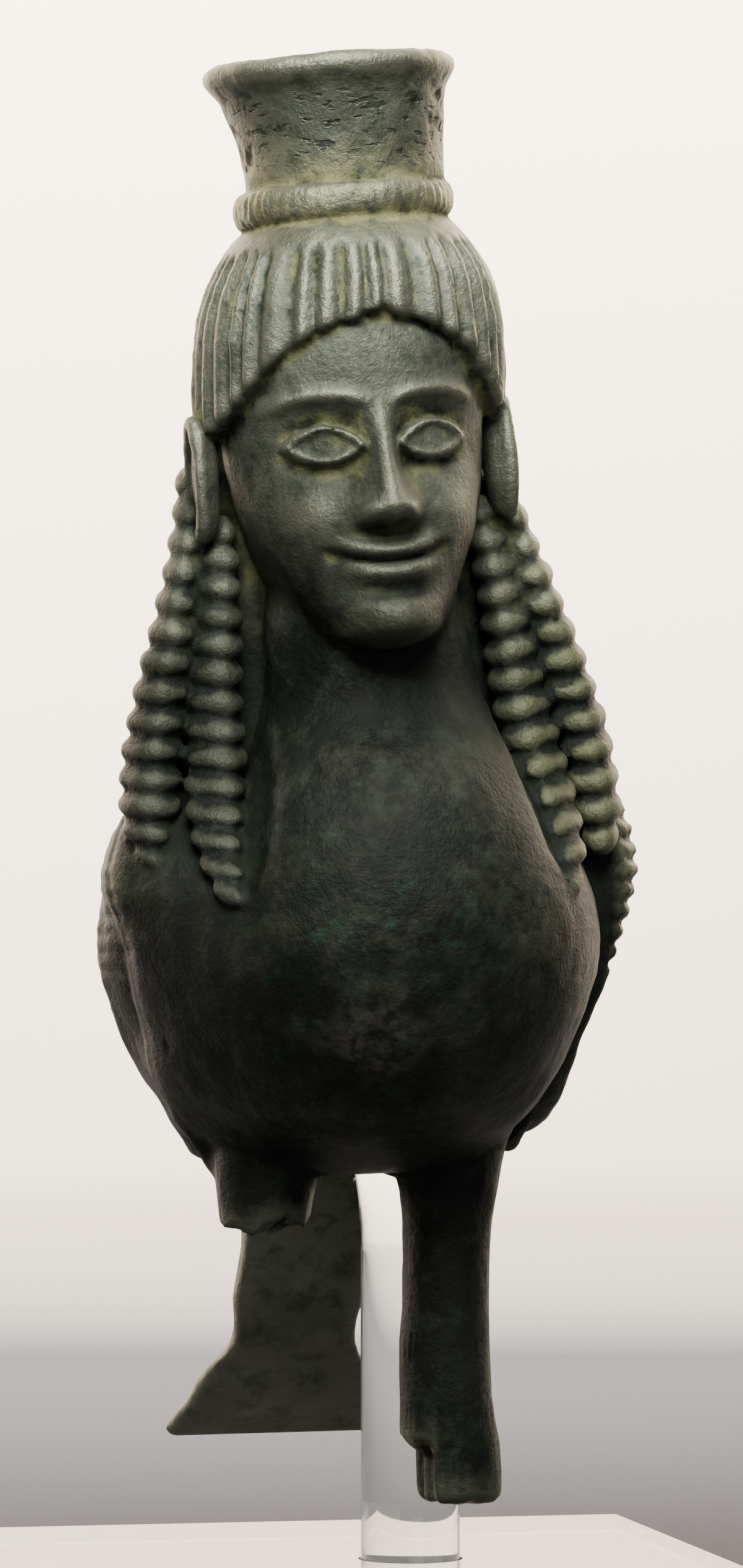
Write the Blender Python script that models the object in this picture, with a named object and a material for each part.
"""A small archaic bronze siren, a bird with a woman's head, held above a clear foot by a clear rod."""

import math

import bmesh
import bpy
import numpy as np

MM = 0.001

# The figure: its height from the break of the longer leg to the rim of the headdress
FIGURE_HEIGHT = 140 * MM
# One unit of the figure's form, 1/140 of its height. All tables of the figure are in these units.
U = FIGURE_HEIGHT / 140

# The mount
FOOT_WIDTH = 80 * MM
FOOT_DEPTH = 90 * MM
FOOT_HEIGHT = 10 * MM
FOOT_EDGE = 1.2 * MM
ROD_DIAMETER = 10 * MM
SOCKET_DEPTH = 5 * MM
CRADLE_DIAMETER = 22 * MM
CRADLE_FLARE = 18 * MM
LEG_ABOVE_FOOT = 7 * MM
FIT_GAP = 0.3 * MM

# Where the figure and the rod stand, in figure units: forward is -Y
FIGURE_SETBACK = 20.0
ROD_X = 8.0
ROD_Y = 25.5

# The head leans to the figure's right: the lean grows over the neck and then stays
LEAN = math.radians(4.7)
LEAN_FROM = 46.0
LEAN_TO = 82.0

# Body sections under the wings: height, half width, front, widest place, back
BODY = (
    (32.0, 4.0, 10.0, 18.0, 29.0),
    (33.2, 9.6, 4.0, 16.0, 34.0),
    (35.2, 12.6, -2.0, 14.0, 36.5),
    (38.0, 15.6, -8.0, 12.5, 37.2),
    (42.0, 18.1, -13.0, 11.0, 37.0),
    (46.0, 19.8, -16.4, 10.0, 36.2),
    (50.0, 21.2, -18.4, 8.5, 35.0),
    (54.0, 21.9, -19.3, 7.0, 33.2),
    (58.0, 21.6, -19.4, 5.8, 31.2),
    (62.0, 20.2, -18.8, 5.0, 28.8),
    (66.0, 18.2, -17.4, 4.5, 25.8),
    (70.0, 15.9, -15.5, 3.8, 22.4),
    (74.0, 13.6, -12.8, 3.0, 18.8),
    (77.0, 11.7, -10.0, 2.0, 15.5),
    (80.0, 10.5, -8.6, 1.5, 13.0),
    (84.0, 10.1, -8.2, 1.2, 11.0),
    (88.0, 9.6, -8.1, 1.2, 10.2),
    (91.0, 8.4, -7.4, 1.0, 9.0),
)
BODY_POWER = 2.1
# Turns the points of the big forms a little, so that no two forms meet edge to edge
PHASE = 0.06
# Edges shorter than this, in units, are melted away after the forms are joined
MELT = 0.025
# Head sections, in the same columns
HEAD = (
    (83.6, 3.2, -12.4, -6.0, 4.0),
    (84.6, 6.2, -13.6, -4.0, 8.0),
    (87.0, 8.6, -13.9, -2.0, 11.0),
    (91.0, 10.3, -13.5, -0.5, 12.0),
    (96.0, 11.6, -13.4, 0.0, 12.5),
    (101.0, 12.4, -13.2, 0.0, 13.0),
    (107.0, 12.8, -13.4, 0.0, 13.0),
    (113.0, 12.7, -13.5, 0.0, 13.0),
    (120.0, 11.0, -11.0, 0.0, 12.0),
)
# Hair cap sections: height, half width, half depth, and how far its middle stands to +X
CAP = (
    (98.0, 14.6, 15.0, -0.1),
    (102.0, 15.1, 15.6, -0.1),
    (107.0, 15.2, 15.9, 0.0),
    (111.0, 15.3, 15.8, 0.3),
    (115.0, 15.0, 15.5, 0.5),
    (119.0, 14.1, 14.6, 0.8),
    (122.4, 12.3, 13.0, 0.9),
    (124.6, 10.7, 11.1, 1.0),
)
CAP_CENTRE = 0.6
FLUTES = 40
FLUTE_DEPTH = 0.75
# Lower edge of the hair cap: how far round from the front, in degrees, and its height
HAIRLINE = ((0, 115.4), (20, 114.6), (40, 111.9), (58, 108.2), (70, 106.4), (110, 104.0), (180, 98.0))

# The turned headdress, from its foot up to the lip: radius, height, how far its middle stands to +X
POLOS_Y = 0.6
POLOS_TOP = 141.0
POLOS_WALL = ((9.5, 123.0, 1.35), (9.65, 131.0, 1.4), (10.1, 134.4, 1.2), (11.15, 137.8, 0.85))
POLOS_LIP_RADIUS = 1.0
POLOS_RIM = 12.2
POLOS_RIM_X = 0.7
POLOS_DISH_DEPTH = 1.4
CORD_RING_HEIGHT = 126.5
CORD_RING_RADIUS = 10.6
CORD_RING_X = 1.4
CORD_RING_HALF = 2.2
CORD_STRANDS = 28

# Locks that fall before the shoulders: height, out, back, half width; the last row is the tip
INNER_LOCK = (
    (98.0, 13.0, 2.4, 1.6),
    (92.0, 13.8, 1.9, 2.4),
    (84.0, 14.7, 1.8, 2.8),
    (78.0, 15.3, 1.2, 3.0),
    (72.0, 16.0, -1.0, 3.0),
    (66.0, 16.6, -4.6, 2.6),
    (60.0, 16.7, -8.0, 0.9),
)
OUTER_LOCK = (
    (103.0, 14.9, 4.0, 1.5),
    (96.0, 16.2, 3.0, 1.9),
    (88.0, 18.2, 2.4, 2.5),
    (80.0, 20.3, 2.6, 3.0),
    (74.0, 21.5, 2.4, 3.2),
    (67.0, 22.2, 1.2, 2.8),
    (61.0, 22.0, -1.2, 1.0),
)
LOCK_TIERS = 14
# The head's hair sits this far to the figure's right of its middle
LOCKS_LEAN = 0.35
EARS_LEAN = 0.25
# The mass of hair behind the neck that the locks lie on, in the columns of the body sections
MANTLE = (
    (106.0, 12.0, 1.0, 5.0, 13.6),
    (98.0, 14.8, 2.4, 6.0, 14.4),
    (90.0, 17.0, 2.4, 6.5, 15.8),
    (82.0, 19.0, 2.6, 7.0, 18.0),
    (75.0, 20.2, 2.2, 8.0, 21.4),
    (68.0, 20.0, 1.4, 9.0, 25.8),
    (62.0, 17.5, 0.6, 9.0, 26.6),
)
BACK_LOCKS = 7
BACK_TIERS = 6
# A lock of the nape: height, half width, how far it is sunk in the mass of hair
BACK_LOCK = ((104.0, 2.6, 0.6), (90.0, 2.9, 0.7), (76.0, 3.7, 0.7), (67.0, 3.9, 0.5), (63.0, 1.8, 0.2))

# Wings: height, angle of the front edge from straight ahead, thickness, and how soon behind
# the edge the wing is at its full thickness, from 0 on the flank to 1 on the shoulder
WING = (
    (32.0, 100.0, 2.4, 0.8),
    (36.0, 94.0, 4.0, 0.8),
    (41.0, 88.0, 3.6, 0.8),
    (48.0, 84.0, 4.2, 0.0),
    (54.0, 82.0, 4.9, 0.1),
    (58.0, 82.0, 5.4, 0.5),
    (62.0, 84.0, 6.4, 1.0),
    (66.0, 88.0, 7.5, 1.0),
    (70.0, 95.0, 7.6, 1.0),
    (73.5, 105.0, 4.6, 1.0),
    (76.5, 116.0, 0.8, 1.0),
)
WING_BACK_ANGLE = 168.0
COVERT_LOW = 51.3
COVERT_PITCH = 1.9
COVERTS = 10
COVERT_DEPTH = 0.6
QUILLS = 2
QUILL_DEPTH = 0.45

# Tail: height, back, half width, half thickness
TAIL = (
    (42.0, 31.0, 8.0, 5.0),
    (34.0, 36.0, 7.0, 3.6),
    (26.0, 41.0, 5.9, 2.4),
    (18.0, 45.4, 6.2, 1.8),
    (12.6, 48.9, 6.3, 1.6),
    (10.2, 51.0, 8.2, 1.45),
    (6.0, 55.6, 9.8, 1.3),
    (3.6, 60.0, 10.7, 1.2),
)
TAIL_FEATHERS = 5
TAIL_FEATHER_DEPTH = 0.35

# Legs: height, out, back, half width, half depth
LONG_LEG = (
    (42.0, 8.8, 11.0, 6.4, 6.9),
    (35.0, 8.8, 11.0, 5.5, 5.7),
    (31.5, 8.7, 11.0, 5.0, 5.3),
    (28.0, 8.55, 11.0, 4.5, 4.9),
    (20.0, 8.4, 11.0, 4.3, 4.7),
    (12.0, 8.4, 11.0, 4.6, 4.8),
    (5.8, 8.7, 11.0, 4.8, 4.7),
    (5.0, 10.0, 11.0, 3.7, 4.5),
    (1.2, 10.2, 11.0, 3.7, 4.3),
    (0.0, 10.1, 11.0, 2.7, 3.2),
)
SHORT_LEG = (
    (42.0, 9.0, 11.0, 6.4, 6.9),
    (35.0, 9.5, 11.0, 5.3, 5.7),
    (29.5, 9.8, 11.0, 4.6, 5.2),
    (27.0, 9.9, 11.0, 4.2, 4.8),
)

# Face: eyes, ears
EYE_OUT = 5.3
EYE_HEIGHT = 103.4
EAR_HEIGHT = 101.4
EAR_HALF_HEIGHT = 5.6


def smooth(stations, at):
    """Values, at the given positions, of a smooth curve through rows of (position, value, ...)."""
    rows = np.array(sorted(stations), float)
    knots, values = rows[:, 0], rows[:, 1:]
    slopes = np.gradient(values, knots, axis=0)
    at = np.atleast_1d(np.asarray(at, float))
    i = np.clip(np.searchsorted(knots, at) - 1, 0, len(knots) - 2)
    span = (knots[i + 1] - knots[i])[:, None]
    t = np.clip((at - knots[i])[:, None] / span, 0, 1)
    return (
        values[i] * (1 - t) ** 2 * (1 + 2 * t)
        + values[i + 1] * t**2 * (3 - 2 * t)
        + span * slopes[i] * t * (1 - t) ** 2
        - span * slopes[i + 1] * t**2 * (1 - t)
    )


def section(half_width, front, centre, back, angles, power=2.0):
    """Level section of a form: x and y at angles that turn from straight ahead, -Y, towards +X."""
    across = np.sign(np.sin(angles)) * np.abs(np.sin(angles)) ** (2 / power)
    along = np.sign(np.cos(angles)) * np.abs(np.cos(angles)) ** (2 / power)
    depth = np.where(along > 0, centre - front, back - centre)
    return half_width * across, centre - depth * along


def loft(name, rings):
    """One closed mesh object through rings of equal point counts, with a fan over each end."""
    shape = bmesh.new()
    levels = [[shape.verts.new(point) for point in ring] for ring in rings]
    for low, high in zip(levels, levels[1:]):
        for i in range(len(low)):
            j = (i + 1) % len(low)
            shape.faces.new((low[i], low[j], high[j], high[i]))
    for ring in (levels[0], levels[-1]):
        middle = shape.verts.new(np.mean([v.co for v in ring], axis=0))
        for i in range(len(ring)):
            shape.faces.new((ring[i], ring[(i + 1) % len(ring)], middle))
    return finish(name, shape)


def finish(name, shape):
    """Turns a bmesh into a scene object with its faces pointing out."""
    bmesh.ops.recalc_face_normals(shape, faces=shape.faces[:])
    mesh = bpy.data.meshes.new(name)
    shape.to_mesh(mesh)
    shape.free()
    made = bpy.data.objects.new(name, mesh)
    bpy.context.scene.collection.objects.link(made)
    return made


def bump(x, z, at_x, at_z, wide, high):
    """A soft round hill of height 1."""
    return np.exp(-(((x - at_x) / wide) ** 2) - ((z - at_z) / high) ** 2)


def face_relief(x, z):
    """How far the carving of the face stands forward of the plain head, at x across and z up."""
    side = np.abs(x)
    brow_line = 107.2 + 1.0 * np.cos((side - 5.6) / 3.4)
    brow = 0.9 * np.exp(-(((z - brow_line) / 0.95) ** 2)) * (side < 10.5) * (side > 0.8)
    socket = -1.5 * bump(side, z, EYE_OUT, EYE_HEIGHT, 3.7, 2.7)
    ridge = np.interp(z, (95.6, 96.4, 97.6, 101, 104.5, 108), (0, 3.4, 4.3, 2.9, 1.6, 0))
    width = np.interp(z, (96, 98, 102, 106), (2.5, 2.0, 1.35, 1.6))
    nose = ridge * np.exp(-((side / width) ** 2))
    wings = 1.3 * bump(side, z, 2.1, 97.0, 1.1, 1.1)
    smile = 92.4 + 0.035 * side**2
    lips = 1.5 * bump(side, z, 0, smile, 4.4, 1.7) - 0.9 * bump(side, z, 0, smile, 4.8, 0.35)
    chin = 1.5 * bump(side, z, 0, 86.6, 3.8, 2.4)
    under_lip = -0.5 * bump(side, z, 0, 89.4, 3.4, 0.9)
    cheek = 0.7 * bump(side, z, 7.2, 96.6, 3.6, 3.6)
    return brow + socket + nose + wings + lips + chin + under_lip + cheek


def make_body(grow=0.0):
    """The bird's body with the neck, from the belly up into the head."""
    heights = np.concatenate([(32.0, 33.2, 35.2, 38.0), np.linspace(42, 90, 13)])
    angles = np.linspace(0, 2 * math.pi, 26, endpoint=False) + PHASE
    rings = []
    for height, row in zip(heights, smooth(BODY, heights)):
        half_width, front, centre, back = row
        x, y = section(half_width + grow, front - grow, centre, back + grow, angles, BODY_POWER)
        rings.append(np.column_stack([x, y, np.full_like(x, height - grow)]))
    return loft("body", rings)


def make_head():
    """The head with the face worked into its front; the hair hides the rest."""
    heights = np.concatenate([[83.6, 84.6, 85.8], np.linspace(87.4, 109, 13), [116]])
    across = np.linspace(-1, 1, 19)
    front = math.radians(96) * np.sign(across) * np.abs(across) ** 1.15
    behind = np.linspace(math.radians(96), math.radians(264), 7)[1:-1]
    angles = np.concatenate([front, behind])
    rings = []
    for height, row in zip(heights, smooth(HEAD, heights)):
        x, y = section(*row, angles)
        facing = np.clip(np.cos(angles), 0, 1) ** 0.5
        y = y - face_relief(x, height) * facing
        rings.append(np.column_stack([x, y, np.full_like(x, height)]))
    return loft("head", rings)


def make_ball(name, centre, radii, around=12, rows=6):
    """A ball with a radius along each axis."""
    shape = bmesh.new()
    bmesh.ops.create_uvsphere(shape, u_segments=around, v_segments=rows, radius=1)
    bmesh.ops.scale(shape, vec=radii, verts=shape.verts)
    bmesh.ops.translate(shape, vec=centre, verts=shape.verts)
    return finish(name, shape)


def make_eyes():
    """Large almond eyes, set a little round the face."""
    return [
        make_ball("eye", (side * EYE_OUT, -11.3, EYE_HEIGHT), (3.2, 1.9, 1.75), 8, 6) for side in (-1, 1)
    ]


def make_ears():
    """Long flat ears: a plate with a raised rim that hooks into the lobe."""
    ears = []
    for side in (-1, 1):
        plate = side * 14.5 - EARS_LEAN
        ears.append(make_ball("ear", (plate, 0.2, EAR_HEIGHT), (1.3, 2.2, EAR_HALF_HEIGHT), 8, 6))
        rings = []
        for turn in np.linspace(math.radians(-60), math.radians(200), 9):
            along = np.array([0, -2.3 * math.cos(turn), EAR_HALF_HEIGHT * math.sin(turn)])
            out = along / np.linalg.norm(along)
            centre = np.array([side * 15.3 - EARS_LEAN, 0.2, EAR_HEIGHT]) + along
            rim = [
                centre + 0.75 * (out * math.cos(a) + np.array([side, 0, 0]) * math.sin(a))
                for a in np.linspace(0, 2 * math.pi, 5, endpoint=False)
            ]
            rings.append(rim)
        ears.append(loft("ear_rim", rings))
    return ears


def make_hair_cap():
    """The combed fringe and crown: forty flutes from the headdress down to the arched hairline."""
    count = FLUTES * 2
    angles = np.linspace(0, 2 * math.pi, count, endpoint=False)
    from_front = np.degrees(np.abs((angles + math.pi) % (2 * math.pi) - math.pi))
    low = smooth(HAIRLINE, from_front)[:, 0]
    flute = np.where(np.arange(count) % 2, 0.0, 1.0)
    rings = []
    top = CAP[-1][0]
    for share in (-0.14, 0.0, 0.1, 0.5, 0.9, 1.0):
        height = low + (top - low) * max(share, 0)
        half_width, half_depth, middle = smooth(CAP, height).T
        worn = np.interp(share, (-0.14, 0, 0.08, 0.9, 1), (0, 0.3, 1, 1, 0))
        inset = 3.5 if share < 0 else 0.45 if share == 0 else 0
        cut = FLUTE_DEPTH * worn * (flute - 1) - inset
        x = middle + (half_width + cut) * np.sin(angles)
        y = CAP_CENTRE - (half_depth + cut) * np.cos(angles)
        rings.append(np.column_stack([x, y, height]))
    return loft("hair_cap", rings)


def make_polos():
    """The basket-shaped headdress, turned, with a rounded lip and a shallow sunk top."""
    lip_height = POLOS_TOP - POLOS_LIP_RADIUS
    lip_centre = POLOS_RIM - POLOS_LIP_RADIUS
    lip = []
    for turn in np.radians((-30, 30, 100)):
        out, rise = POLOS_LIP_RADIUS * math.cos(turn), POLOS_LIP_RADIUS * math.sin(turn)
        lip.append((lip_centre + out, lip_height + rise, POLOS_RIM_X))
    dish = (lip_centre - 1.2, POLOS_TOP - POLOS_DISH_DEPTH, POLOS_RIM_X)
    return turned("polos", [*POLOS_WALL, *lip, dish], 26, POLOS_Y)


def turned(name, profile, around, middle_y=0.0):
    """A round solid from rows of radius, height and the middle's x, closed flat at both ends."""
    rings = []
    for radius, height, middle_x in profile:
        ring = [
            (middle_x + radius * math.sin(a), middle_y - radius * math.cos(a), height)
            for a in np.linspace(0, 2 * math.pi, around, endpoint=False)
        ]
        rings.append(ring)
    return loft(name, rings)


def make_cord_ring():
    """The corded band round the foot of the headdress."""
    angles = np.linspace(0, 2 * math.pi, CORD_STRANDS * 2, endpoint=False)
    strand = np.where(np.arange(CORD_STRANDS * 2) % 2, -0.45, 0.0)
    rings = []
    for share in (-1, -0.6, 0.6, 1):
        radius = CORD_RING_RADIUS - 0.4 * share**2 + strand * (1 - share**2)
        height = np.full_like(angles, CORD_RING_HEIGHT + CORD_RING_HALF * share)
        x = CORD_RING_X + radius * np.sin(angles)
        rings.append(np.column_stack([x, POLOS_Y - radius * np.cos(angles), height]))
    return loft("cord_ring", rings)


def make_lock(name, stations, tiers, outward, thickness=0.78, sides=6):
    """A lock of tiered beads along its line; outward gives the side that faces away from the body."""
    top, tip = stations[0][0], stations[-1][0]
    steps = tiers * 2
    heights = np.linspace(top, tip, steps + 1)
    rows = smooth(stations, heights)
    rings = []
    for step, (height, row) in enumerate(zip(heights, rows)):
        x, y, half_width = row
        centre = np.array([x, y, height])
        out = np.array(outward(x, y, height))
        out = out / np.linalg.norm(out)
        across = np.array([-out[1], out[0], 0])
        swell = 1.0 if step % 2 else 0.8
        ring = [
            centre
            + swell * half_width * (across * math.cos(a) + thickness * out * math.sin(a))
            for a in np.linspace(0, 2 * math.pi, sides, endpoint=False)
        ]
        rings.append(ring)
    return loft(name, rings)


def make_front_locks():
    """Two locks on each side that fall from behind the ears over the shoulders."""
    made = []
    for side in (-1, 1):
        for name, stations, forward in (("inner_lock", INNER_LOCK, 1.0), ("outer_lock", OUTER_LOCK, 0.35)):
            rows = [(height, side * x - LOCKS_LEAN, y, half) for height, x, y, half in stations]
            made.append(make_lock(name, rows, LOCK_TIERS, lambda x, y, z: (side * 0.75, -forward, 0.0)))
    return made


def make_mantle():
    """The mass of hair from ear to ear that the separate locks lie on."""
    heights = np.linspace(62, 106, 8)
    angles = np.linspace(0, 2 * math.pi, 18, endpoint=False) - PHASE
    rings = []
    for height, row in zip(heights, smooth(MANTLE, heights)):
        x, y = section(*row, angles, 2.8)
        rings.append(np.column_stack([x, y, np.full_like(x, height)]))
    return loft("mantle", rings)


def make_back_locks():
    """Locks side by side down the nape, over the top of the back."""
    made = []
    for turn in np.radians(np.linspace(108, 252, BACK_LOCKS)):
        rows = []
        for height, half, sunk in BACK_LOCK:
            half_width, _, centre, back = smooth(MANTLE, height)[0]
            x, y = section(half_width - sunk, 0, centre, back - sunk, turn, 2.8)
            rows.append((height, float(x), float(y), half))
        facing = (math.sin(turn), -math.cos(turn), 0.0)
        made.append(make_lock("back_lock", rows, BACK_TIERS, lambda x, y, z: facing, 0.7, 5))
    return made


def wing_heights():
    """Levels of the wing's rings: two for each covert feather, fewer above and below."""
    top = COVERT_LOW + COVERTS * COVERT_PITCH
    coverts = np.linspace(COVERT_LOW, top, COVERTS * 2 + 1)
    return np.concatenate([np.linspace(33.6, COVERT_LOW, 6)[:-1], coverts, np.linspace(top, 76.5, 4)[1:]])


def make_wing(side, grow=0.0):
    """A folded wing: a smooth front edge, ribbed coverts behind it, and long quills to the rump."""
    heights = wing_heights()
    quills = np.linspace(0.48, 1, QUILLS * 2 + 1)
    shares = np.concatenate([[0, 0.03, 0.09, 0.17, 0.27], quills])
    ribbed = np.interp(shares, (0.03, 0.09, 0.27, 0.4), (0, 1, 1, 0))
    quilled = QUILL_DEPTH * np.isin(shares, quills[1::2])
    shoulder = np.interp(shares, (0, 0.03, 0.09, 0.2, 0.4, 1), (-0.4, 0.75, 1, 0.92, 1, 0.5))
    flank = np.interp(shares, (0, 0.03, 0.09, 0.17, 0.27, 0.4, 1), (-0.4, 0.4, 0.45, 0.7, 0.95, 1, 0.5))
    rings = []
    for level, (height, row, (edge, thick, full)) in enumerate(
        zip(heights, smooth(BODY, heights), smooth(WING, heights))
    ):
        angle = np.radians(edge + (WING_BACK_ANGLE - edge) * shares)
        rib = COVERT_DEPTH * (level % 2) * (COVERT_LOW < height < COVERT_LOW + COVERTS * COVERT_PITCH)
        profile = flank + (shoulder - flank) * full
        rise = thick * profile - rib * ribbed - quilled + grow
        x, y = section(*row, angle, BODY_POWER)
        outer = np.column_stack([side * (x + np.sin(angle) * rise), y - np.cos(angle) * rise, 0 * x])
        under = np.radians([WING_BACK_ANGLE, edge])
        x, y = section(*(row + (-2, 2, 0, -2)), under, BODY_POWER)
        inner = np.column_stack([side * x, y, 0 * x])
        rings.append(np.concatenate([outer, inner]) + (0, 0, height))
    return loft("wing", rings)


def make_tail(grow=0.0):
    """The fan tail: it leaves the rump, drops, and spreads to a straight lower edge."""
    heights = np.array([row[0] for row in TAIL])
    rows = smooth(TAIL, heights)
    rings = []
    slope = np.gradient(rows[:, 0], heights)
    across = np.linspace(-1, 1, TAIL_FEATHERS * 2 + 1)
    for height, (back, half_width, half_thick), fall in zip(heights, rows, slope):
        along = np.array([0, -fall, -1]) / math.hypot(fall, 1)
        normal = np.array([0, -along[2], along[1]])
        edge = np.sqrt(np.clip(1 - np.abs(across) ** 4, 0, 1)) * half_thick + grow
        scallop = np.where(np.arange(len(across)) % 2, 0, -TAIL_FEATHER_DEPTH) * (np.abs(across) < 0.99)
        upper = [np.array([a * (half_width + grow), back, height]) + normal * (e + s + 0.25)
                 for a, e, s in zip(across, edge, scallop)]
        lower = [np.array([a * (half_width + grow), back, height]) - normal * (e + 0.25)
                 for a, e in zip(across, edge)]
        rings.append(upper + lower[::-1])
    return loft("tail", rings)


def make_leg(stations, side, ragged, grow=0.0):
    """A leg with its broken end; ragged is how far the break runs up and down."""
    around = 12
    angles = np.linspace(0, 2 * math.pi, around, endpoint=False)
    rings = []
    for height, out, back, half_width, half_depth in stations:
        x = side * out + (half_width + grow) * np.sin(angles)
        y = back - (half_depth + grow) * np.cos(angles)
        broken = np.full(around, height)
        if height == stations[-1][0]:
            broken = height + ragged * (np.sin(angles * 2 + 0.6) + 0.6 * np.sin(angles * 5))
        rings.append(np.column_stack([x, y, broken]))
    return loft("leg", rings)


def place(made):
    """Leans the head and sets the figure's form in its own place over the foot, in metres."""
    points = np.empty(len(made.data.vertices) * 3, np.float32)
    made.data.vertices.foreach_get("co", points)
    x, y, z = points.reshape(-1, 3).astype(float).T
    span = LEAN_TO - LEAN_FROM
    t = np.clip((z - LEAN_FROM) / span, 0, 1)
    angle = LEAN * t * t * (3 - 2 * t)
    drift = LEAN * (span * (t**3 - t**4 / 2) + np.maximum(z - LEAN_TO, 0))
    points = np.column_stack([x * np.cos(angle) - drift, y - FIGURE_SETBACK, z + x * np.sin(angle)]) * U
    points[:, 2] += FOOT_HEIGHT + LEG_ABOVE_FOOT
    made.data.vertices.foreach_set("co", points.astype(np.float32).ravel())
    made.data.update()
    return made


def fill_pockets(shape):
    """Removes the walls of tiny closed pockets left between forms, so that one body remains."""
    left = set(shape.verts)
    bodies = []
    while left:
        reached = [left.pop()]
        for vert in reached:
            near = {edge.other_vert(vert) for edge in vert.link_edges} & left
            left -= near
            reached.extend(near)
        bodies.append(reached)
    bodies.sort(key=len)
    small = [vert for body in bodies[:-1] if len(body) < 30 for vert in body]
    bmesh.ops.delete(shape, geom=small, context="VERTS")


def joined(name, pieces):
    """One solid from overlapping pieces, which are then removed; slivers along the joints are melted."""
    base = pieces[0]
    for other in pieces[1:]:
        union = base.modifiers.new("join", "BOOLEAN")
        union.operation = "UNION"
        union.solver = "EXACT"
        union.use_self = True
        union.object = other
    graph = bpy.context.evaluated_depsgraph_get()
    mesh = bpy.data.meshes.new_from_object(base.evaluated_get(graph))
    for piece in pieces:
        bpy.data.objects.remove(piece)
    shape = bmesh.new()
    shape.from_mesh(mesh)
    bmesh.ops.triangulate(shape, faces=shape.faces[:])
    bmesh.ops.dissolve_degenerate(shape, edges=shape.edges[:], dist=MELT)
    bmesh.ops.triangulate(shape, faces=shape.faces[:])
    fill_pockets(shape)
    return finish(name, shape)


def make_siren():
    """The whole casting: every form joined, then leant and put in its place."""
    pieces = [
        make_body(),
        make_head(),
        *make_eyes(),
        *make_ears(),
        make_hair_cap(),
        make_polos(),
        make_cord_ring(),
        *make_front_locks(),
        make_mantle(),
        *make_back_locks(),
        make_wing(-1),
        make_wing(1),
        make_tail(),
        make_leg(LONG_LEG, 1, 0.25),
        make_leg(SHORT_LEG, -1, 0.8),
    ]
    return place(joined("siren", pieces))


def cut_away(base, cutter):
    """Takes a hidden cutter's form out of a piece."""
    cutter.hide_render = True
    cutter.display_type = "WIRE"
    cut = base.modifiers.new("cut", "BOOLEAN")
    cut.operation = "DIFFERENCE"
    cut.solver = "EXACT"
    cut.object = cutter


def make_rod():
    """The clear rod: its foot in the socket, its head flared and cut to the belly that rests in it."""
    rod = ROD_DIAMETER / 2
    cradle = CRADLE_DIAMETER / 2
    bottom = FOOT_HEIGHT - SOCKET_DEPTH + FIT_GAP
    top = FOOT_HEIGHT + LEG_ABOVE_FOOT + 38 * U
    start = top - CRADLE_FLARE
    flare = [
        (rod + (cradle - rod) * (1 - math.cos(math.pi / 2 * t)), start + CRADLE_FLARE * t, 0)
        for t in np.linspace(0, 1, 7)
    ]
    profile = [(rod - 0.4 * MM, bottom, 0), (rod, bottom + 0.4 * MM, 0), *flare]
    made = turned("support_rod", profile, 24)
    made.location = (ROD_X * U, (ROD_Y - FIGURE_SETBACK) * U, 0)
    grow = FIT_GAP / U
    for cutter in (make_body(grow), make_wing(1, grow), make_tail(grow), make_leg(LONG_LEG, 1, 0.25, grow)):
        cut_away(made, place(cutter))
    return made


def make_foot():
    """The clear foot: a thick bevelled plate with a blind socket for the rod."""
    shape = bmesh.new()
    bmesh.ops.create_cube(shape, size=1)
    bmesh.ops.scale(shape, vec=(FOOT_WIDTH, FOOT_DEPTH, FOOT_HEIGHT), verts=shape.verts)
    bmesh.ops.translate(shape, vec=(0, 0, FOOT_HEIGHT / 2), verts=shape.verts)
    foot = finish("rod_foot", shape)
    edge = foot.modifiers.new("edge", "BEVEL")
    edge.width = FOOT_EDGE
    edge.segments = 2
    radius = ROD_DIAMETER / 2 + FIT_GAP
    ends = (FOOT_HEIGHT - SOCKET_DEPTH, FOOT_HEIGHT + 1 * MM)
    socket = turned("socket", [(radius, height, 0) for height in ends], 24)
    socket.location = (ROD_X * U, (ROD_Y - FIGURE_SETBACK) * U, 0)
    cut_away(foot, socket)
    return foot


def material(name, colour, metallic, roughness, transmission=0.0):
    """A plain surface."""
    made = bpy.data.materials.new(name)
    made.use_nodes = True
    shader = made.node_tree.nodes["Principled BSDF"]
    shader.inputs["Base Color"].default_value = (*colour, 1)
    shader.inputs["Metallic"].default_value = metallic
    shader.inputs["Roughness"].default_value = roughness
    shader.inputs["Transmission Weight"].default_value = transmission
    return made


def main():
    """Clears the scene and builds the figure and its mount."""
    for old in list(bpy.data.objects):
        bpy.data.objects.remove(old)
    bronze = material("dark_green_bronze", (0.075, 0.09, 0.075), 0.6, 0.5)
    acrylic = material("clear_acrylic", (0.95, 0.97, 0.96), 0.0, 0.05, 1.0)
    siren = make_siren()
    siren.data.materials.append(bronze)
    siren.data.set_sharp_from_angle(angle=math.radians(40))
    for made in (make_rod(), make_foot()):
        made.data.materials.append(acrylic)


main()
